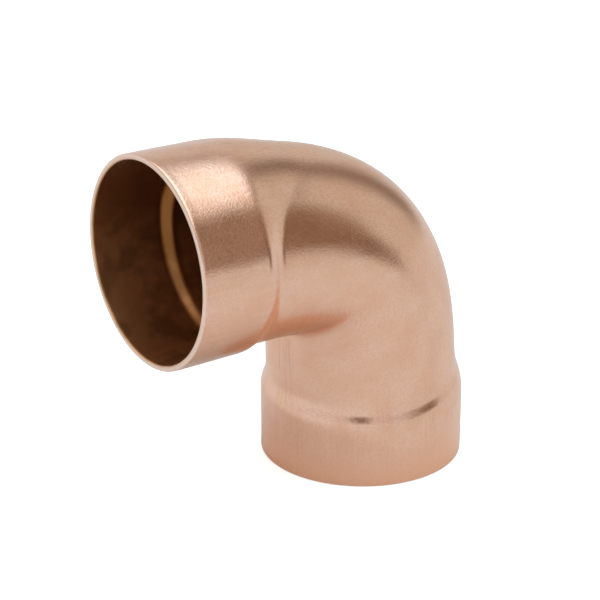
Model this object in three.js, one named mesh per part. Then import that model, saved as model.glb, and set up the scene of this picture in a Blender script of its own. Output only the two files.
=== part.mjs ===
// A wrought copper 90 degree pipe elbow with a socket at each end, for soldering onto 1-1/4 inch tube.
//
// The fitting is one piece. It is made as the real one is: a straight length of tube is bent, and both of
// its ends are widened into sockets. A soft shoulder is left behind each socket, and its inside is the stop
// that the tube meets.
//
// Frame: +Z is up, and the elbow stands on the rim of its lower socket. The upper socket opens towards -X,
// so the bend lies in the XZ plane. The origin is the middle of the bounding box's base.
import * as THREE from "three";
import { mergeVertices } from "three/addons/utils/BufferGeometryUtils.js";

// Driving dimensions, in millimetres.
const TUBE_DIAMETER = 34.93; // outside diameter of the tube that fits the sockets, and of the bend itself
const SOCKET_CLEARANCE = 0.12; // how much wider a socket's bore is than the tube
const WALL = 1.25; // thickness of the copper
const SOCKET_DEPTH = 12.4; // from a rim to the start of the shoulder
const CENTRE_TO_RIM = 46; // from the point where the sockets' axes cross to either rim
const THROAT_SHOULDER = 4; // length of a shoulder at the sides and in the inner corner of the bend
const HEEL_SHOULDER = 22; // length of a shoulder on the outside of the bend, where it is nearly flush
const THROAT_RADIUS = 1.6; // radius of the inner corner, on the outer surface
const HEEL_FULLNESS = 2.55; // exponent of the heel's outline: 2 is a round arc, and more is fuller

// Fineness of the faceted surface.
const SEGMENTS_AROUND = 60;
const STEPS_ON_SHOULDER = 6;
const STEPS_ON_HALF_BEND = 10;
const WELD_DISTANCE = 1e-4;

const tubeRadius = TUBE_DIAMETER / 2;
const socketRadius = (TUBE_DIAMETER + SOCKET_CLEARANCE) / 2 + WALL;
const shoulderEnd = SOCKET_DEPTH + THROAT_SHOULDER;

// The outline of the bend is drawn in the XZ plane, in coordinates with x measured from the lower socket's
// axis and y the height above its rim. Only the lower half is drawn. The upper half is its mirror image in
// the line through the heel and the throat, which swaps the two sockets.
function mirrored(point) {
  return new THREE.Vector2(point.y - CENTRE_TO_RIM, point.x + CENTRE_TO_RIM);
}

// How much of a shoulder's step is left at this height: 1 on the socket, and 0 from the shoulder's end.
function stepLeft(height, shoulderLength) {
  return 1 - THREE.MathUtils.smoothstep(height - SOCKET_DEPTH, 0, shoulderLength);
}

// Both the cross axis of a ring and its throat follow the plain shoulder.
function plainRadius(height) {
  return THREE.MathUtils.lerp(tubeRadius, socketRadius, stepLeft(height, THROAT_SHOULDER));
}

// The heel, the outermost line of the bend, is a superellipse that leaves the socket along its axis. The
// shoulder's step is added to its first stretch.
const heelReach = CENTRE_TO_RIM + tubeRadius - SOCKET_DEPTH;

function heelOffset(height) {
  const along = Math.max(height - SOCKET_DEPTH, 0);
  const across = (heelReach ** HEEL_FULLNESS - along ** HEEL_FULLNESS) ** (1 / HEEL_FULLNESS);
  const step = (socketRadius - tubeRadius) * stepLeft(height, HEEL_SHOULDER);
  return tubeRadius - heelReach + across + step;
}

class HalfHeel extends THREE.Curve {
  getPoint(t) {
    const middle = SOCKET_DEPTH + heelReach * 0.5 ** (1 / HEEL_FULLNESS);
    const height = THREE.MathUtils.lerp(shoulderEnd, middle, t);
    return new THREE.Vector2(heelOffset(height), height);
  }
}

// The throat, the innermost line of the bend, runs straight up the tube to a small round corner.
function halfThroat() {
  const corner = CENTRE_TO_RIM - tubeRadius - THROAT_RADIUS;
  const straight = new THREE.LineCurve(
    new THREE.Vector2(-tubeRadius, shoulderEnd),
    new THREE.Vector2(-tubeRadius, corner),
  );
  const round = new THREE.ArcCurve(-tubeRadius - THROAT_RADIUS, corner, THROAT_RADIUS, 0, Math.PI / 4);
  const throat = new THREE.CurvePath();
  throat.add(straight);
  throat.add(round);
  return throat;
}

// A ring is one cross section of the outer surface: an ellipse that spans from the heel to the throat, with
// its other half axis along Y.
function socketRing(height) {
  const radius = plainRadius(height);
  return {
    heel: new THREE.Vector2(heelOffset(height), height),
    throat: new THREE.Vector2(-radius, height),
    halfWidth: radius,
  };
}

function lowerRings() {
  const rings = [socketRing(0)];
  for (let i = 0; i <= STEPS_ON_SHOULDER; i += 1) {
    rings.push(socketRing(SOCKET_DEPTH + (THROAT_SHOULDER * i) / STEPS_ON_SHOULDER));
  }
  const heel = new HalfHeel();
  const throat = halfThroat();
  for (let i = 1; i <= STEPS_ON_HALF_BEND; i += 1) {
    const share = i / STEPS_ON_HALF_BEND;
    rings.push({ heel: heel.getPointAt(share), throat: throat.getPointAt(share), halfWidth: tubeRadius });
  }
  return rings;
}

function allRings() {
  const lower = lowerRings();
  const upper = lower.slice(0, -1).reverse();
  const upperRings = upper.map(({ heel, throat, halfWidth }) => ({
    heel: mirrored(heel),
    throat: mirrored(throat),
    halfWidth,
  }));
  return [...lower, ...upperRings];
}

// The blank is a straight tube along Y, with one ring of its surface at each whole height.
function blankTube(ringCount) {
  const profile = [];
  for (let height = 0; height < ringCount; height += 1) {
    profile.push(new THREE.Vector2(tubeRadius, height));
  }
  for (let height = ringCount - 1; height >= 0; height -= 1) {
    profile.push(new THREE.Vector2(tubeRadius - WALL, height));
  }
  profile.push(profile[0].clone());
  const tube = new THREE.LatheGeometry(profile, SEGMENTS_AROUND);
  tube.deleteAttribute("normal");
  tube.deleteAttribute("uv");
  return mergeVertices(tube, WELD_DISTANCE);
}

// Where forming takes a point of the blank. The blank's Z is the side that becomes the heel, its X becomes
// Y, and a point keeps its depth below the outer surface, so the wall keeps its thickness.
function formed(point, rings) {
  const radius = Math.hypot(point.x, point.z);
  const depth = tubeRadius - radius;
  const { heel, throat, halfWidth } = rings[Math.round(point.y)];
  const middle = heel.clone().lerp(throat, 0.5);
  const towardsHeel = heel.clone().sub(middle);
  const inPlaneShare = (1 - depth / towardsHeel.length()) * (point.z / radius);
  const place = middle.addScaledVector(towardsHeel, inPlaneShare);
  return new THREE.Vector3(place.x, (halfWidth - depth) * (point.x / radius), place.y);
}

function elbowGeometry() {
  const rings = allRings();
  const geometry = blankTube(rings.length);
  const positions = geometry.getAttribute("position");
  const point = new THREE.Vector3();
  for (let i = 0; i < positions.count; i += 1) {
    const place = formed(point.fromBufferAttribute(positions, i), rings);
    positions.setXYZ(i, place.x, place.y, place.z);
  }
  geometry.computeVertexNormals();
  return geometry;
}

const copper = new THREE.MeshStandardMaterial({ color: 0xcf9478, roughness: 0.36, metalness: 1 });

const elbow = new THREE.Mesh(elbowGeometry(), copper);
elbow.name = "elbow";
elbow.position.x = (CENTRE_TO_RIM - socketRadius) / 2;

const fitting = new THREE.Group();
fitting.add(elbow);

export default fitting;
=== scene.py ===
"""Looks for a wrought copper 90 degree pipe elbow: its formed wall, satin finish and pale studio."""

import math

import bpy
import numpy as np
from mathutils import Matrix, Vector


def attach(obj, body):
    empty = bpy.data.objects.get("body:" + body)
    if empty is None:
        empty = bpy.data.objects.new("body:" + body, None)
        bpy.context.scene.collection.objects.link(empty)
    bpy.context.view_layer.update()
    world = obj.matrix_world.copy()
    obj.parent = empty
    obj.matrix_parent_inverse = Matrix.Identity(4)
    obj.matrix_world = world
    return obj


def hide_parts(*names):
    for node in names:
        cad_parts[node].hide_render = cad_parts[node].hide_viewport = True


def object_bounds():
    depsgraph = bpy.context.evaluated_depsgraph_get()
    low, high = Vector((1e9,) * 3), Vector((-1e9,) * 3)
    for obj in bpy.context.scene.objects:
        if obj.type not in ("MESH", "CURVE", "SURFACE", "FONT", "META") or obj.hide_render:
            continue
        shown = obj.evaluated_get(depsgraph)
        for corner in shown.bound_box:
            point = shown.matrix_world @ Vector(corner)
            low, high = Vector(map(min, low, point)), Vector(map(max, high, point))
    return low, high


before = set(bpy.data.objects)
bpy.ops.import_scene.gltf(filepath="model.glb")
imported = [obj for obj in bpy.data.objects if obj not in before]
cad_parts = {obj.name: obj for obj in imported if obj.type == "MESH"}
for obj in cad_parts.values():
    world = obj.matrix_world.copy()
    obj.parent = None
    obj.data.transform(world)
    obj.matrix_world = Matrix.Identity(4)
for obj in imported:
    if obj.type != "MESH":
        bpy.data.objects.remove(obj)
CAD_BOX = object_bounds()

# ---------------------------------------------------------------- sizes, in metres
MM = 0.001
CAD_LOW, CAD_HIGH = CAD_BOX
SOCKET_RADIUS = (CAD_HIGH.y - CAD_LOW.y) / 2
CENTRE_TO_RIM = (CAD_HIGH.x - CAD_LOW.x) - SOCKET_RADIUS
LOWER_AXIS_X = CAD_HIGH.x - SOCKET_RADIUS
WALL = 1.1 * MM
SOCKET_DEPTH = 12.33 * MM
STRAIGHT_END = 16.3 * MM
THROAT_RADIUS = 1.4 * MM
HEEL_FULLNESS = 2.58
BODY_HALF_WIDTH = 0.922 * SOCKET_RADIUS
THROAT_OFFSET = 0.957 * SOCKET_RADIUS
RIM_ROUNDING = 0.3 * MM

# Fineness of the wall's surface, and of the curves that it is laid along.
AROUND = 440
ON_SOCKET = 24
ON_SHOULDER = 60
ON_BEND = 200
ON_RIM = 6
FINE_RINGS_START = SOCKET_DEPTH - 3 * MM
CURVE_POINTS = 400
CORNER_POINTS = 60


class Leg:
    """One of the two legs: how far its heel lies from its axis, and the shoulder behind its socket.

    The heel's offset is in socket radii, and the rest is in millimetres. The shoulder's start and length
    are given for the plain sides and for the heel, where it is softer. Its tilt is how much higher it
    starts on the far side, +Y, than at the middle, and its rise is how much higher it runs towards the
    heel. A worn shoulder's step is spread out on the near side, and only a faint crease is left.
    """

    def __init__(self, heel_offset, shoulder_start, shoulder_length, tilt, rise, worn):
        self.heel_offset = heel_offset * SOCKET_RADIUS
        self.shoulder_start = [height * MM for height in shoulder_start]
        self.shoulder_length = [length * MM for length in shoulder_length]
        self.tilt = tilt * MM
        self.rise = rise * MM
        self.worn = worn


LOWER = Leg(
    heel_offset=0.934,
    shoulder_start=(11.2, 10.2),
    shoulder_length=(5.4, 9.0),
    tilt=1.2,
    rise=2.1,
    worn=True,
)
UPPER = Leg(
    heel_offset=0.906,
    shoulder_start=(12.2, 11.3),
    shoulder_length=(5.1, 22.0),
    tilt=0.0,
    rise=0.0,
    worn=False,
)

# How narrow the heel's own shape of a shoulder is, as a power of the cosine of the angle from the heel,
# and the share by which a shoulder is shorter on the inner face.
HEEL_NARROWNESS = 3
INNER_CRISPNESS = 0.5

# The rise of a shoulder comes in over this span, in degrees from the plain side towards the heel.
RISE_START = -20
RISE_SPAN = 60

# The worn stretch of a shoulder, and the crease left in it, which is deeper at one dent.
CREASE_LENGTH = 1.9 * MM
SPREAD_LENGTH = 11.0 * MM
CREASE_SHARE = 0.13
DENT_SHARE = 0.2
DENT_PLACE, DENT_HALF_WIDTH = math.radians(235), math.radians(16)
WORN_PLACE, WORN_HALF_WIDTH = math.radians(268), math.radians(90)


def smoothstep(x):
    """0 up to x = 0, 1 from x = 1 on, and a smooth rise between them."""
    x = np.clip(x, 0.0, 1.0)
    return x * x * (3 - 2 * x)


def smootherstep(x):
    """As smoothstep, but its curvature has no jump either."""
    x = np.clip(x, 0.0, 1.0)
    return x * x * x * (x * (6 * x - 15) + 10)


def bump(x, half_width):
    """A smooth hump, 1 at x = 0 and 0 from half_width on."""
    return 1 - smoothstep(np.abs(x) / half_width)


# ---------------------------------------------------------------- shape
# Everything is drawn in the lower leg's frame: x from its axis, and z up from its rim. Mirroring swaps
# the two legs.
def mirrored(x, z):
    return z - CENTRE_TO_RIM, x + CENTRE_TO_RIM


def mirrored_line(line):
    return np.stack(mirrored(*line.T), axis=1)


def heel_offset(height, own, other):
    """How far the body's outermost line lies from a leg's axis: a superellipse that leaves the socket."""
    across = CENTRE_TO_RIM + own.heel_offset - SOCKET_DEPTH
    along = CENTRE_TO_RIM + other.heel_offset - SOCKET_DEPTH
    share = np.clip((height - SOCKET_DEPTH) / along, 0.0, 1.0)
    return own.heel_offset - across * (1 - (1 - share**HEEL_FULLNESS) ** (1 / HEEL_FULLNESS))


def heel_half(own, other):
    """The heel from the end of a leg's straight part to the middle of the bend."""
    along = CENTRE_TO_RIM + other.heel_offset - SOCKET_DEPTH
    middle = SOCKET_DEPTH + along * 0.5 ** (1 / HEEL_FULLNESS)
    height = np.linspace(STRAIGHT_END, middle, CURVE_POINTS)
    return np.stack([heel_offset(height, own, other), height], axis=1)


def throat_half():
    """The throat from the end of a leg's straight part to the middle of its small round corner."""
    turn = np.linspace(0, math.pi / 4, CORNER_POINTS)
    x = -THROAT_OFFSET - THROAT_RADIUS * (1 - np.cos(turn))
    z = CENTRE_TO_RIM - THROAT_OFFSET - THROAT_RADIUS * (1 - np.sin(turn))
    return np.concatenate([[(-THROAT_OFFSET, STRAIGHT_END)], np.stack([x, z], axis=1)])


def travelled(line):
    return np.concatenate([[0.0], np.cumsum(np.hypot(*np.diff(line, axis=0).T))])


def joined(lower_half, upper_half):
    """Evenly spaced points of a line made of its lower half and its upper half."""
    line = np.concatenate([lower_half, mirrored_line(upper_half)[::-1]])
    distance = travelled(line)
    wanted = np.linspace(0.0, distance[-1], ON_BEND)[1:-1]
    return np.stack([np.interp(wanted, distance, line[:, i]) for i in (0, 1)], axis=1)


def leg_lines(heights, own, other):
    heel = np.stack([heel_offset(heights, own, other), heights], axis=1)
    throat = np.stack([np.full_like(heights, -THROAT_OFFSET), heights], axis=1)
    return heel, throat


def wall_rings():
    """The heel point, throat point, depth and distance along the tube of every ring of the wall.

    They run along the outer face from the lower rim to the upper one, over that rim, back along the inner
    face, and over the lower rim. A depth is measured from the outer face.
    """
    heights = np.concatenate(
        [
            np.linspace(RIM_ROUNDING, FINE_RINGS_START, ON_SOCKET, endpoint=False),
            np.linspace(FINE_RINGS_START, STRAIGHT_END, ON_SHOULDER),
        ]
    )
    turn = np.linspace(0, math.pi / 2, ON_RIM)[1:]
    round_height = RIM_ROUNDING * (1 - np.sin(turn))
    round_depth = RIM_ROUNDING * (1 - np.cos(turn))
    rim_heights = np.concatenate([round_height, round_height[::-1]])
    rim_depths = np.concatenate([round_depth, WALL - round_depth[::-1]])
    bend_lines = (
        joined(heel_half(LOWER, UPPER), heel_half(UPPER, LOWER)),
        joined(throat_half(), throat_half()),
    )
    lines = []
    faces = []
    for i in (0, 1):
        lower = leg_lines(heights, LOWER, UPPER)[i]
        upper = mirrored_line(leg_lines(heights, UPPER, LOWER)[i])[::-1]
        face = np.concatenate([lower, bend_lines[i], upper])
        upper_rim = mirrored_line(leg_lines(rim_heights, UPPER, LOWER)[i])
        lower_rim = leg_lines(rim_heights, LOWER, UPPER)[i]
        lines.append(np.concatenate([face, upper_rim, face[::-1], lower_rim]))
        faces.append(face)
    count = len(faces[0])
    depths = np.concatenate([np.zeros(count), rim_depths, np.full(count, WALL), rim_depths[::-1]])
    along = travelled((faces[0] + faces[1]) / 2)
    rim = np.zeros(len(rim_depths))
    distance = np.concatenate([along, rim + along[-1], along[::-1], rim])
    return lines[0], lines[1], depths, distance


def step_left(height, angle, leg, crispness):
    """How much of the step between a leg's body and its socket is left at this height: 1 on the socket.

    The crispness is the share by which the step is shorter, as on the inner face, where it stops a tube.
    """
    heel_share = np.clip(np.cos(angle), 0, 1) ** HEEL_NARROWNESS
    plain_start, heel_start = leg.shoulder_start
    plain_length, heel_length = leg.shoulder_length
    start = plain_start + (heel_start - plain_start) * heel_share
    towards_heel = np.degrees(np.arcsin(np.clip(np.cos(angle), -1, 1)))
    rise = leg.rise * smoothstep((towards_heel - RISE_START) / RISE_SPAN)
    start = start + leg.tilt * np.sin(angle) + rise
    length = plain_length + (heel_length - plain_length) * heel_share
    compact = 1 - smootherstep(((height - start) / length - 0.5) / (1 - crispness) + 0.5)
    middle = start + length / 2
    crease = 1 - smoothstep((height - middle) / CREASE_LENGTH + 0.5)
    spread = 1 - smoothstep((height - middle) / SPREAD_LENGTH + 0.5)
    crease_share = CREASE_SHARE + DENT_SHARE * bump(angle - DENT_PLACE, DENT_HALF_WIDTH)
    soft = spread + (crease - spread) * crease_share
    near = bump(angle - WORN_PLACE, WORN_HALF_WIDTH) * leg.worn
    return compact + (soft - compact) * near


def widened(x, y, z, angle, leg, crispness):
    """Points of a leg's body, moved out to its socket."""
    middle, reach = (leg.heel_offset - THROAT_OFFSET) / 2, (leg.heel_offset + THROAT_OFFSET) / 2
    step = step_left(z, angle, leg, crispness)
    x = x + step * ((SOCKET_RADIUS - reach) * np.cos(angle) - middle)
    y = y + step * (SOCKET_RADIUS - BODY_HALF_WIDTH) * np.sin(angle)
    return x, y, z


# How much closer together the places around the wall are at the throat and at the heel, and how far round
# this reaches, in radians.
THROAT_DENSITY, THROAT_REACH = 4.0, 0.45
HEEL_DENSITY, HEEL_REACH = 3.0, 0.1
DENSITY_POINTS = 4001


def angles_around():
    """Places around the wall, closer together at the heel and the throat. Angle 0 is the heel."""
    even = np.linspace(0, 2 * math.pi, DENSITY_POINTS)
    at_heel = bump(even, HEEL_REACH) + bump(even - 2 * math.pi, HEEL_REACH)
    density = 1 + THROAT_DENSITY * bump(even - math.pi, THROAT_REACH) + HEEL_DENSITY * at_heel
    share = np.concatenate([[0.0], np.cumsum((density[1:] + density[:-1]) / 2)])
    wanted = np.linspace(0, share[-1], AROUND, endpoint=False)
    return np.interp(wanted, share, even)


def wall_points():
    """Points of the wall as an array (ring, place around, xyz), and where each ring and place is."""
    heel, throat, depths, distance = wall_rings()
    angle = angles_around()[None, :]
    middle, reach = (heel + throat) / 2, (heel - throat) / 2
    share = (1 - depths / np.linalg.norm(reach, axis=1))[:, None] * np.cos(angle)
    x = middle[:, 0, None] + reach[:, 0, None] * share
    y = (BODY_HALF_WIDTH - depths)[:, None] * np.sin(angle)
    z = middle[:, 1, None] + reach[:, 1, None] * share
    inner_share = smoothstep((depths - RIM_ROUNDING) / (WALL - RIM_ROUNDING))[:, None]
    crispness = INNER_CRISPNESS * inner_share
    x, y, z = widened(x, y, z, angle, LOWER, crispness)
    x, z = mirrored(x, z)
    x, y, z = widened(x, y, z, angle, UPPER, crispness)
    x, z = mirrored(x, z)
    return np.stack([x + LOWER_AXIS_X, y, z], axis=2), angle, depths, distance


# ---------------------------------------------------------------- relief left by forming
# Angles and widths around the tube are in radians, and the pairs of lengths and of depths in millimetres.
# Starts, ends and fades of grooves and of the parting line are shares of the tube's length.
RANDOM = np.random.default_rng(7)
WAVES = 16
WAVE_HEIGHT = 0.011 * MM
MOST_WAVE_TURNS = 5
WAVE_LENGTHS = (14, 45)

GROOVES_PER_LEG = 30
GROOVE_PLACE, GROOVE_SCATTER = math.pi + 0.06, 0.11
GROOVE_WIDTHS = (0.006, 0.016)
GROOVE_DEPTHS = (-0.04, 0.02)
GROOVE_STARTS, GROOVE_ENDS = (0.1, 0.3), (0.34, 0.48)
GROOVE_FADE_IN, GROOVE_FADE_OUT = 0.08, 0.05
WANDER = 0.01
WANDER_LENGTHS = (4, 9)
WANDER_PHASES = (0, 6)

PARTING_HEIGHT = 0.022 * MM
PARTING_HALF_WIDTH = 0.016
PARTING_FADE = 0.05
PARTING_FAINTNESS = 0.4
PARTING_LENGTHS = (5, 3.1)

RELIEF_FADE = 1.5 * MM


def waviness(angle, distance):
    """Faint hollows and swellings, a few hundredths of a millimetre high."""
    height = np.zeros(np.broadcast(angle, distance).shape)
    for _ in range(WAVES):
        turns = RANDOM.integers(1, MOST_WAVE_TURNS + 1)
        length = RANDOM.uniform(*WAVE_LENGTHS) * MM
        phase = RANDOM.uniform(0, 2 * math.pi, 2)
        lengthwise = np.cos(2 * math.pi * distance / length + phase[1])
        height += np.cos(turns * angle + phase[0]) * lengthwise
    return WAVE_HEIGHT * height


def drag_marks(angle, distance, length):
    """Grooves that the bending tool drags along the throat of each leg."""
    height = np.zeros(np.broadcast(angle, distance).shape)
    for share in (distance / length, 1 - distance / length):
        for _ in range(GROOVES_PER_LEG):
            place = RANDOM.normal(GROOVE_PLACE, GROOVE_SCATTER)
            width = RANDOM.uniform(*GROOVE_WIDTHS)
            wander_length = RANDOM.uniform(*WANDER_LENGTHS) * MM
            wander = WANDER * np.sin(distance / wander_length + RANDOM.uniform(*WANDER_PHASES))
            start, end = RANDOM.uniform(*GROOVE_STARTS), RANDOM.uniform(*GROOVE_ENDS)
            reach = smoothstep((share - start) / GROOVE_FADE_IN)
            reach = reach * (1 - smoothstep((share - end) / GROOVE_FADE_OUT))
            depth = RANDOM.uniform(*GROOVE_DEPTHS) * MM
            height += depth * bump(angle - place - wander, width) * reach
    return height


def parting_line(angle, distance, length):
    """The thin raised line along the heel where the halves of the forming die met."""
    centred = np.abs((angle + math.pi) % (2 * math.pi) - math.pi)
    long_wave, short_wave = (np.sin(distance / (length_mm * MM)) for length_mm in PARTING_LENGTHS)
    faint = 1 - PARTING_FAINTNESS + PARTING_FAINTNESS * long_wave * short_wave
    share = distance / length
    ends = smoothstep(share / PARTING_FADE) * smoothstep((1 - share) / PARTING_FADE)
    return PARTING_HEIGHT * bump(centred, PARTING_HALF_WIDTH) * faint * ends


def outward_normals(points):
    along = np.roll(points, -1, axis=0) - np.roll(points, 1, axis=0)
    across = np.roll(points, -1, axis=1) - np.roll(points, 1, axis=1)
    normal = np.cross(along, across)
    normal /= np.linalg.norm(normal, axis=2, keepdims=True)
    return normal


def closed_mesh(name, points):
    rings, around, _ = points.shape
    ring, place = np.meshgrid(np.arange(rings), np.arange(around), indexing="ij")
    next_ring, next_place = (ring + 1) % rings, (place + 1) % around
    corners = np.stack(
        [
            ring * around + place,
            ring * around + next_place,
            next_ring * around + next_place,
            next_ring * around + place,
        ],
        axis=2,
    )
    mesh = bpy.data.meshes.new(name)
    mesh.from_pydata(points.reshape(-1, 3).tolist(), [], corners.reshape(-1, 4).tolist())
    mesh.update()
    mesh.shade_smooth()
    piece = bpy.data.objects.new(name, mesh)
    bpy.context.scene.collection.objects.link(piece)
    return piece


def add_attribute(mesh, name, vectors):
    attribute = mesh.attributes.new(name, "FLOAT_VECTOR", "POINT")
    attribute.data.foreach_set("vector", np.ascontiguousarray(vectors, dtype=np.float32).ravel())


# Depths below the outer face: where the outer face's relief ends, where the inner face's colour starts,
# and how far from each face the rim's cut colour is full.
OUTSIDE_END = 0.5 * WALL
INSIDE_START = 0.6 * WALL
RIM_EDGE = 0.25 * RIM_ROUNDING

# How deep a groove is when it is fully tarnished.
TARNISHED_DEPTH = 0.05 * MM


def make_elbow():
    points, angle, depths, distance = wall_points()
    distance = distance[:, None]
    length = distance.max()
    outside = 1 - smoothstep(depths / OUTSIDE_END)[:, None]
    relief = waviness(angle, distance)
    grooves = outside * drag_marks(angle, distance, length)
    relief += grooves
    relief += outside * parting_line(angle, distance, length)
    relief *= smoothstep(distance / RELIEF_FADE) * smoothstep((length - distance) / RELIEF_FADE)
    away = outward_normals(points) * np.where(depths > WALL / 2, -1, 1)[:, None, None]
    points = points + away * relief[:, :, None]
    piece = closed_mesh("elbow_copper", points)
    # The unbent place of each point, in millimetres, so that a finish can follow the tube.
    radius = SOCKET_RADIUS / MM
    straight = np.stack(
        np.broadcast_arrays(radius * np.cos(angle), radius * np.sin(angle), distance / MM),
        axis=2,
    )
    add_attribute(piece.data, "unbent", straight)
    # The share of the inner face, of the rim, and of old tarnish left in the grooves.
    rim = smoothstep(depths / RIM_EDGE) * smoothstep((WALL - depths) / RIM_EDGE)
    inside = smoothstep((depths - INSIDE_START) / (WALL - INSIDE_START))
    tarnish = smoothstep(-grooves / TARNISHED_DEPTH)
    zones = np.stack(np.broadcast_arrays(inside[:, None], rim[:, None], tarnish), axis=2)
    add_attribute(piece.data, "zones", zones)
    return piece


# ---------------------------------------------------------------- copper
class Shading:
    """Small helpers for building a node material."""

    def __init__(self, tree):
        self.nodes, self.links = tree.nodes, tree.links

    def put(self, socket, value):
        if isinstance(value, bpy.types.NodeSocket):
            self.links.new(value, socket)
        else:
            socket.default_value = value

    def math(self, operation, *values):
        node = self.nodes.new("ShaderNodeMath")
        node.operation = operation
        for socket, value in zip(node.inputs, values):
            self.put(socket, value)
        return node.outputs[0]

    def times(self, a, b):
        return self.math("MULTIPLY", a, b)

    def plus(self, a, b):
        return self.math("ADD", a, b)

    def total(self, first, *others):
        for other in others:
            first = self.plus(first, other)
        return first

    def vector(self, operation, a, b, output="Vector"):
        node = self.nodes.new("ShaderNodeVectorMath")
        node.operation = operation
        self.put(node.inputs[0], a)
        self.put(node.inputs[1], b)
        return node.outputs[output]

    def ramp(self, value, low, high, to_low=0.0, to_high=1.0):
        node = self.nodes.new("ShaderNodeMapRange")
        node.interpolation_type = "SMOOTHSTEP"
        node.inputs["From Min"].default_value = low
        node.inputs["From Max"].default_value = high
        node.inputs["To Min"].default_value = to_low
        node.inputs["To Max"].default_value = to_high
        self.put(node.inputs["Value"], value)
        return node.outputs["Result"]

    def mix(self, share, a, b):
        node = self.nodes.new("ShaderNodeMix")
        node.data_type = "RGBA"
        # Inputs 6 and 7 and output 2 are the node's colour sockets.
        self.put(node.inputs["Factor"], share)
        self.put(node.inputs[6], a)
        self.put(node.inputs[7], b)
        return node.outputs[2]

    def attribute(self, name):
        node = self.nodes.new("ShaderNodeAttribute")
        node.attribute_name = name
        return node.outputs["Vector"]

    def split(self, vector):
        node = self.nodes.new("ShaderNodeSeparateXYZ")
        self.put(node.inputs[0], vector)
        return node.outputs

    def mix_shaders(self, share, a, b):
        node = self.nodes.new("ShaderNodeMixShader")
        for socket, value in zip(node.inputs, (share, a, b)):
            self.put(socket, value)
        return node.outputs[0]

    def noise(self, vector, scale, detail=2.0, roughness=0.5):
        node = self.nodes.new("ShaderNodeTexNoise")
        node.inputs["Scale"].default_value = scale
        node.inputs["Detail"].default_value = detail
        node.inputs["Roughness"].default_value = roughness
        self.put(node.inputs["Vector"], vector)
        return node.outputs["Fac"]


# Colours of the copper outside: clean, stained, speckled, a painted shade on the upper leg's underside,
# cut at the rim, a painted reflection of the floor's shadow just above the lower rim, and tarnished.
PALE_COPPER = (0.955, 0.61, 0.45, 1)
DEEP_COPPER = (0.86, 0.47, 0.29, 1)
PINK_COPPER = (0.93, 0.64, 0.52, 1)
PAINTED_UNDERSIDE_SHADE = (0.36, 0.28, 0.16, 1)
CUT_COPPER = (0.96, 0.73, 0.6, 1)
PAINTED_FLOOR_REFLECTION = (1.0, 0.59, 0.38, 1)
TARNISH = (0.42, 0.22, 0.13, 1)

# Colours of the bore: plain, stained or with painted shade towards the heel, and painted shade at a stop.
INNER_COPPER = (0.76, 0.4, 0.18, 1)
BORE_STAIN_AND_SHADE = (0.46, 0.225, 0.09, 1)
PAINTED_STOP_SHADE = (0.3, 0.12, 0.03, 1)

# Shares of these colours where they are strongest.
STAIN_SHARE = 0.55
SPECK_SHARE = 0.4
FLECK_SHARE = 0.4
UNDERSIDE_SHADE_SHARE = 0.42
FLOOR_REFLECTION_SHARE = 0.6
TARNISH_SHARE = 0.3
CUT_SHARE = 0.8
STOP_SHADE_SHARE = 0.85

# Places along the unbent tube, in millimetres from the lower rim.
BEND_MIDDLE = 40.4
STOP_PLACE = 14.7

# Spans in millimetres over which something comes in or fades out: along the tube from the lower rim, from
# the bend's middle or from a stop, and across it from its axis, with the heel positive.
UNDERSIDE_ALONG = (BEND_MIDDLE, BEND_MIDDLE + 4)
FLOOR_REFLECTION_ALONG = (1.0, 8.0)
DRAWN_FROM_MIDDLE = (18.0, 28.0)
CORNER_FROM_MIDDLE = (5.0, 16.0)
SHADE_FROM_STOP = (0.6, 2.4)
UNDERSIDE_ACROSS = (-16.0, -8.0)
CORNER_ACROSS = (-16.0, -5.0)
BORE_SHADE_ACROSS = (-4.0, 6.0)
STOP_ACROSS = (-14.0, -4.0)
ROUGH_BORE_ACROSS = (-12.0, 2.0)

# Levels of a noise pattern between which it comes in, and how much the draw marks add to the stains.
NOISE_MIDDLE = 0.5
STAIN_LEVELS = (0.3, 0.75)
SPECK_LEVELS = (0.5, 0.7)
FLECK_LEVELS = (0.42, 0.62)
BROWN_LEVELS = (0.4, 0.65)
BLOTCH_LEVELS = (0.3, 0.7)
GRAIN_LEVELS = (0.35, 0.65)
DRAWN_STAIN = 0.5

# Roughness of clean copper, and what each pattern and zone adds to it.
CLEAN_ROUGHNESS = 0.18
BLOTCH_ROUGHNESS = 0.05
GRAIN_ROUGHNESS = 0.04
CUT_ROUGHNESS = -0.04
CORNER_ROUGHNESS = 0.16
BORE_ROUGHNESS = 0.2
BORE_THROAT_ROUGHNESS = 0.05

# Heights of the fine relief, in millimetres. The grain is higher by this much in the bend's inner corner.
GRAIN_HEIGHT = 0.018
CORNER_GRAIN_HEIGHT = 0.03
SPECK_HEIGHT = 0.003
DRAW_MARK_HEIGHT = 0.006
CROSS_MARK_HEIGHT = 0.001


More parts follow.
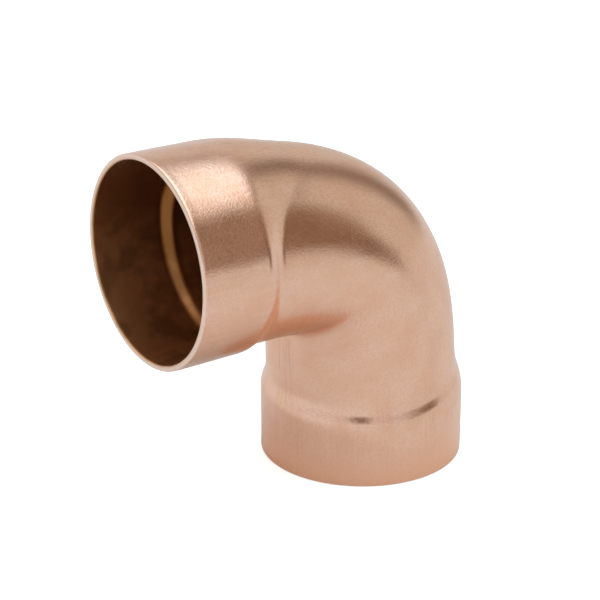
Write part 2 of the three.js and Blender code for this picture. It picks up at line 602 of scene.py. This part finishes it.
class CopperShading(Shading):
    """The copper's patterns and zones, and the colour, roughness and relief that are made of them."""

    def __init__(self, tree):
        super().__init__(tree)
        place = self.attribute("unbent")
        self.across, _, self.along = self.split(place)
        self.inside, self.rim, self.tarnish = self.split(self.attribute("zones"))

        self.grain = self.noise(place, scale=2.4, detail=3.0, roughness=0.6)
        self.speck = self.noise(place, scale=5.5)
        self.fleck = self.noise(place, scale=2.2, roughness=0.6)
        self.blotch = self.noise(place, scale=0.16)
        stretched_along = self.vector("MULTIPLY", place, (1, 1, 0.04))
        self.lengthwise = self.noise(stretched_along, scale=1.5)
        stretched_around = self.vector("MULTIPLY", place, (0.03, 0.03, 1))
        self.crosswise = self.noise(stretched_around, scale=2.6, detail=4.0, roughness=0.6)

        # Draw marks are left on the legs, and the bend has none.
        self.from_middle = self.math("ABSOLUTE", self.math("SUBTRACT", self.along, BEND_MIDDLE))
        self.on_leg = self.ramp(self.from_middle, *DRAWN_FROM_MIDDLE)

        # The underside of the upper leg gets a painted shade, and the inner corner of the bend is rough.
        self.underside_shade = self.times(
            self.ramp(self.across, *UNDERSIDE_ACROSS, 1.0, 0.0),
            self.ramp(self.along, *UNDERSIDE_ALONG),
        )
        self.corner = self.times(
            self.ramp(self.across, *CORNER_ACROSS, 1.0, 0.0),
            self.ramp(self.from_middle, *CORNER_FROM_MIDDLE, 1.0, 0.0),
        )

    def outer_colour(self):
        drawn = self.times(self.math("SUBTRACT", self.lengthwise, NOISE_MIDDLE), self.on_leg)
        stain = self.ramp(self.plus(self.blotch, self.times(drawn, DRAWN_STAIN)), *STAIN_LEVELS)
        speck = self.ramp(self.speck, *SPECK_LEVELS)
        fleck = self.ramp(self.fleck, *FLECK_LEVELS)
        colour = self.mix(self.times(stain, STAIN_SHARE), PALE_COPPER, DEEP_COPPER)
        colour = self.mix(self.times(speck, SPECK_SHARE), colour, PINK_COPPER)
        colour = self.mix(self.times(fleck, FLECK_SHARE), colour, DEEP_COPPER)
        # A painted shade on the underside of the upper leg.
        colour = self.mix(self.times(self.underside_shade, UNDERSIDE_SHADE_SHARE), colour, PAINTED_UNDERSIDE_SHADE)
        # A painted reflection of the floor's shadow, warm just above the lower rim.
        colour = self.mix(self.ramp(self.along, *FLOOR_REFLECTION_ALONG, FLOOR_REFLECTION_SHARE, 0.0), colour, PAINTED_FLOOR_REFLECTION)
        colour = self.mix(self.times(self.tarnish, TARNISH_SHARE), colour, TARNISH)
        return self.mix(self.times(self.rim, CUT_SHARE), colour, CUT_COPPER)

    def inner_colour(self):
        # Random stains in the bore, plus a painted shade towards the heel.
        stain_and_shade = self.plus(self.ramp(self.blotch, *BROWN_LEVELS), self.ramp(self.across, *BORE_SHADE_ACROSS))
        colour = self.mix(stain_and_shade, INNER_COPPER, BORE_STAIN_AND_SHADE)
        # A painted shade around the stop, fading out towards the throat.
        past_stop = self.math("SUBTRACT", self.from_middle, BEND_MIDDLE - STOP_PLACE)
        stop_shade = self.ramp(self.math("ABSOLUTE", past_stop), *SHADE_FROM_STOP, 1.0, 0.0)
        stop_shade = self.times(self.ramp(self.across, *STOP_ACROSS, 0.0, STOP_SHADE_SHARE), stop_shade)
        return self.mix(stop_shade, colour, PAINTED_STOP_SHADE)

    def colour(self):
        return self.mix(self.inside, self.outer_colour(), self.inner_colour())

    def roughness(self):
        bore_throat = self.ramp(self.across, *ROUGH_BORE_ACROSS, BORE_THROAT_ROUGHNESS, 0.0)
        return self.total(
            CLEAN_ROUGHNESS,
            self.times(self.ramp(self.blotch, *BLOTCH_LEVELS), BLOTCH_ROUGHNESS),
            self.times(self.ramp(self.grain, *GRAIN_LEVELS), GRAIN_ROUGHNESS),
            self.times(self.rim, CUT_ROUGHNESS),
            self.times(self.corner, CORNER_ROUGHNESS),
            self.times(self.inside, BORE_ROUGHNESS),
            self.times(self.inside, bore_throat),
        )

    def relief(self):
        """An even grain, rougher in the inner corner, and draw marks along and around the tube."""
        grain_height = self.plus(GRAIN_HEIGHT, self.times(self.corner, CORNER_GRAIN_HEIGHT))
        return self.total(
            self.times(self.grain, grain_height),
            self.times(self.speck, SPECK_HEIGHT),
            self.times(self.times(self.lengthwise, self.on_leg), DRAW_MARK_HEIGHT),
            self.times(self.crosswise, CROSS_MARK_HEIGHT),
        )


def copper_material():
    material = bpy.data.materials.new("copper")
    material.use_nodes = True
    shading = CopperShading(material.node_tree)
    shader = material.node_tree.nodes["Principled BSDF"]
    shading.put(shader.inputs["Base Color"], shading.colour())
    shading.put(shader.inputs["Roughness"], shading.roughness())
    shader.inputs["Metallic"].default_value = 1.0
    carve = material.node_tree.nodes.new("ShaderNodeBump")
    carve.inputs["Strength"].default_value = 1.0
    carve.inputs["Distance"].default_value = MM
    shading.put(carve.inputs["Height"], shading.relief())
    shading.put(shader.inputs["Normal"], carve.outputs["Normal"])
    return material


# ---------------------------------------------------------------- studio
def out_direction(azimuth, elevation):
    """A direction out of the scene, in degrees. Azimuth 0 is towards -Y and 90 towards +X."""
    a, e = math.radians(azimuth), math.radians(elevation)
    return Vector((math.sin(a) * math.cos(e), -math.cos(a) * math.cos(e), math.sin(e)))


class Studio:
    """The surroundings as a world shader: even walls and ceiling, and soft-edged bright and dark panels.

    The softness is in degrees. A direction that hardly points forward to a panel's middle, or points away
    from it, is outside the panel.
    """

    CEILING_SOFTNESS = 5
    LEAST_FORWARD = 0.001

    def __init__(self, wall, ceiling, ceiling_start):
        world = bpy.data.worlds.new("studio")
        bpy.context.scene.world = world
        world.use_nodes = True
        self.shading = Shading(world.node_tree)
        self.background = world.node_tree.nodes["Background"]
        coordinates = world.node_tree.nodes.new("ShaderNodeTexCoord")
        self.direction = coordinates.outputs["Generated"]
        elevation = self.shading.math("ARCSINE", self.along((0, 0, 1)))
        edge = math.radians(ceiling_start)
        soft = math.radians(self.CEILING_SOFTNESS)
        share = self.shading.ramp(elevation, edge - soft, edge + soft)
        self.colour = self.shading.mix(share, (*wall, 1), (*ceiling, 1))

    def along(self, axis):
        return self.shading.vector("DOT_PRODUCT", self.direction, tuple(axis), "Value")

    def panel(self, azimuth, elevation, width, height, soft, colour):
        """A panel in this direction, with its width, height and the softness of its edge in degrees."""
        ahead = out_direction(azimuth, elevation)
        side = out_direction(azimuth + 90, 0)
        up = ahead.cross(side)
        forward = self.shading.math("MAXIMUM", self.along(ahead), self.LEAST_FORWARD)
        share = self.shading.math("GREATER_THAN", forward, 2 * self.LEAST_FORWARD)
        for axis, size in ((side, width), (up, height)):
            slope = self.shading.math("DIVIDE", self.along(axis), forward)
            off = self.shading.math("ABSOLUTE", self.shading.math("ARCTANGENT", slope))
            start, end = math.radians(size / 2 - soft), math.radians(size / 2 + soft)
            share = self.shading.times(share, self.shading.ramp(off, start, end, 1.0, 0.0))
        self.colour = self.shading.mix(share, self.colour, (*colour, 1))

    def done(self):
        self.shading.put(self.background.inputs["Color"], self.colour)
        self.background.inputs["Strength"].default_value = 1.0


def make_studio():
    studio = Studio(wall=(0.70, 0.73, 0.78), ceiling=(1.26, 1.13, 1.02), ceiling_start=47.6)
    # The dim far end of the room.
    studio.panel(-105, 58, width=110, height=64, soft=8, colour=(0.62, 0.58, 0.55))
    # An overhead softbox, the wall to the right of it, and the gap between them.
    studio.panel(79, 74.5, width=87, height=38, soft=4.8, colour=(1.6, 1.9, 2.15))
    studio.panel(85, 24, width=120, height=61, soft=4, colour=(0.61, 0.62, 0.59))
    studio.panel(93, 52.5, width=110, height=8, soft=2, colour=(0.25, 0.163, 0.111))
    # Dark openings of the room, and the camera.
    studio.panel(33.5, 11.5, width=36, height=70, soft=3.5, colour=(0.215, 0.139, 0.082))
    studio.panel(105, 26.5, width=18, height=50, soft=8.3, colour=(0.22, 0.18, 0.15))
    studio.panel(-36, 22.5, width=24, height=20, soft=4.4, colour=(0.2, 0.13, 0.09))
    # Paler stands on both sides of the main dark opening.
    studio.panel(10, 23.4, width=35, height=37, soft=3.1, colour=(0.6, 0.59, 0.59))
    studio.panel(55.7, 0, width=12, height=20, soft=3.3, colour=(0.65, 0.66, 0.62))
    studio.done()


# The paper on the floor, in metres. It is dimmer towards the azimuth of its dim side, a painted shade,
# and it fades from one shade to the other over this reach on both sides of the middle.
HALF_FLOOR = 4.0
FLOOR_DROP = 0.02 * MM
BRIGHT_PAPER = (0.95, 0.94, 0.93, 1)
DIM_PAPER = (0.87, 0.855, 0.835, 1)
DIM_SIDE = 60
FADE_REACH = 0.14
PAPER_ROUGHNESS = 0.9
PAPER_GLOW = 0.6

# A low dark kerb beside the paper: its azimuth, and its sizes in metres.
KERB_AZIMUTH = 43
KERB_DISTANCE = 0.27
KERB_WIDTH = 0.075
KERB_HEIGHT = 0.08
KERB_COLOUR = (0.2, 0.13, 0.085, 1)


def stage_piece(name, corners):
    """One flat four-cornered piece of the studio, with a material of its own."""
    mesh = bpy.data.meshes.new(name)
    mesh.from_pydata([tuple(corner) for corner in corners], [], [(0, 1, 2, 3)])
    piece = bpy.data.objects.new(name, mesh)
    bpy.context.scene.collection.objects.link(piece)
    material = bpy.data.materials.new(name)
    material.use_nodes = True
    mesh.materials.append(material)
    return piece, material.node_tree


def paper_shader(shading):
    """Matt white paper, as a shader. Only the camera sees it glow, which keeps it plain white."""
    nodes = shading.nodes
    matt = nodes["Principled BSDF"]
    geometry = nodes.new("ShaderNodeNewGeometry")
    # The paper's colour holds a painted shade, darker on the dim side.
    dim_side = tuple(out_direction(DIM_SIDE, 0))
    towards_dim = shading.vector("DOT_PRODUCT", geometry.outputs["Position"], dim_side, "Value")
    shade = shading.ramp(towards_dim, -FADE_REACH, FADE_REACH)
    shading.put(matt.inputs["Base Color"], shading.mix(shade, BRIGHT_PAPER, DIM_PAPER))
    matt.inputs["Roughness"].default_value = PAPER_ROUGHNESS
    matt.inputs["Specular IOR Level"].default_value = 0.0
    glow = nodes.new("ShaderNodeEmission")
    glow.inputs["Strength"].default_value = PAPER_GLOW
    bright = nodes.new("ShaderNodeAddShader")
    shading.put(bright.inputs[0], matt.outputs[0])
    shading.put(bright.inputs[1], glow.outputs[0])
    seen = nodes.new("ShaderNodeLightPath").outputs["Is Camera Ray"]
    paper = shading.mix_shaders(seen, matt.outputs[0], bright.outputs[0])
    # A camera below the floor sees through it, so that the underside can be looked at.
    below = shading.times(seen, geometry.outputs["Backfacing"])
    clear = nodes.new("ShaderNodeBsdfTransparent")
    return shading.mix_shaders(below, paper, clear.outputs[0])


def make_floor():
    corners = [(-HALF_FLOOR, -HALF_FLOOR, 0), (HALF_FLOOR, -HALF_FLOOR, 0)]
    corners += [(HALF_FLOOR, HALF_FLOOR, 0), (-HALF_FLOOR, HALF_FLOOR, 0)]
    floor, tree = stage_piece("floor", corners)
    floor.location.z = -FLOOR_DROP
    shading = Shading(tree)
    shading.put(tree.nodes["Material Output"].inputs["Surface"], paper_shader(shading))


def make_kerb():
    """The kerb is seen only as a reflection."""
    across = out_direction(KERB_AZIMUTH + 90, 0) * KERB_WIDTH / 2
    base = out_direction(KERB_AZIMUTH, 0) * KERB_DISTANCE
    top = base + Vector((0, 0, KERB_HEIGHT))
    kerb, tree = stage_piece("kerb", [base - across, base + across, top + across, top - across])
    glow = tree.nodes.new("ShaderNodeEmission")
    glow.inputs["Color"].default_value = KERB_COLOUR
    tree.links.new(glow.outputs[0], tree.nodes["Material Output"].inputs["Surface"])
    kerb.visible_camera = False


# The camera's direction from its target in degrees, and its distance and target in socket radii. The
# target is measured from the lower socket's axis and from the floor.
CAMERA_AZIMUTH = -35.46
CAMERA_ELEVATION = 21.58
CAMERA_DISTANCE = 18.575
TARGET_X = -0.7459
TARGET_Z = 1.7095
SENSOR_WIDTH = 36
LENS = 116.5
CLIP_START = 0.01


def make_camera():
    camera = bpy.data.objects.new("camera", bpy.data.cameras.new("camera"))
    bpy.context.scene.collection.objects.link(camera)
    back = out_direction(CAMERA_AZIMUTH, CAMERA_ELEVATION)
    target = Vector((LOWER_AXIS_X + TARGET_X * SOCKET_RADIUS, 0, TARGET_Z * SOCKET_RADIUS))
    camera.location = target + back * CAMERA_DISTANCE * SOCKET_RADIUS
    camera.rotation_mode = "QUATERNION"
    camera.rotation_quaternion = (-back).to_track_quat("-Z", "Y")
    camera.data.sensor_width = SENSOR_WIDTH
    camera.data.lens = LENS
    camera.data.clip_start = CLIP_START
    bpy.context.scene.camera = camera


elbow = make_elbow()
elbow.data.materials.append(copper_material())
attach(elbow, "root")
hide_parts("elbow")
make_studio()
make_floor()
make_kerb()
make_camera()
bpy.context.scene.view_settings.view_transform = "Standard"
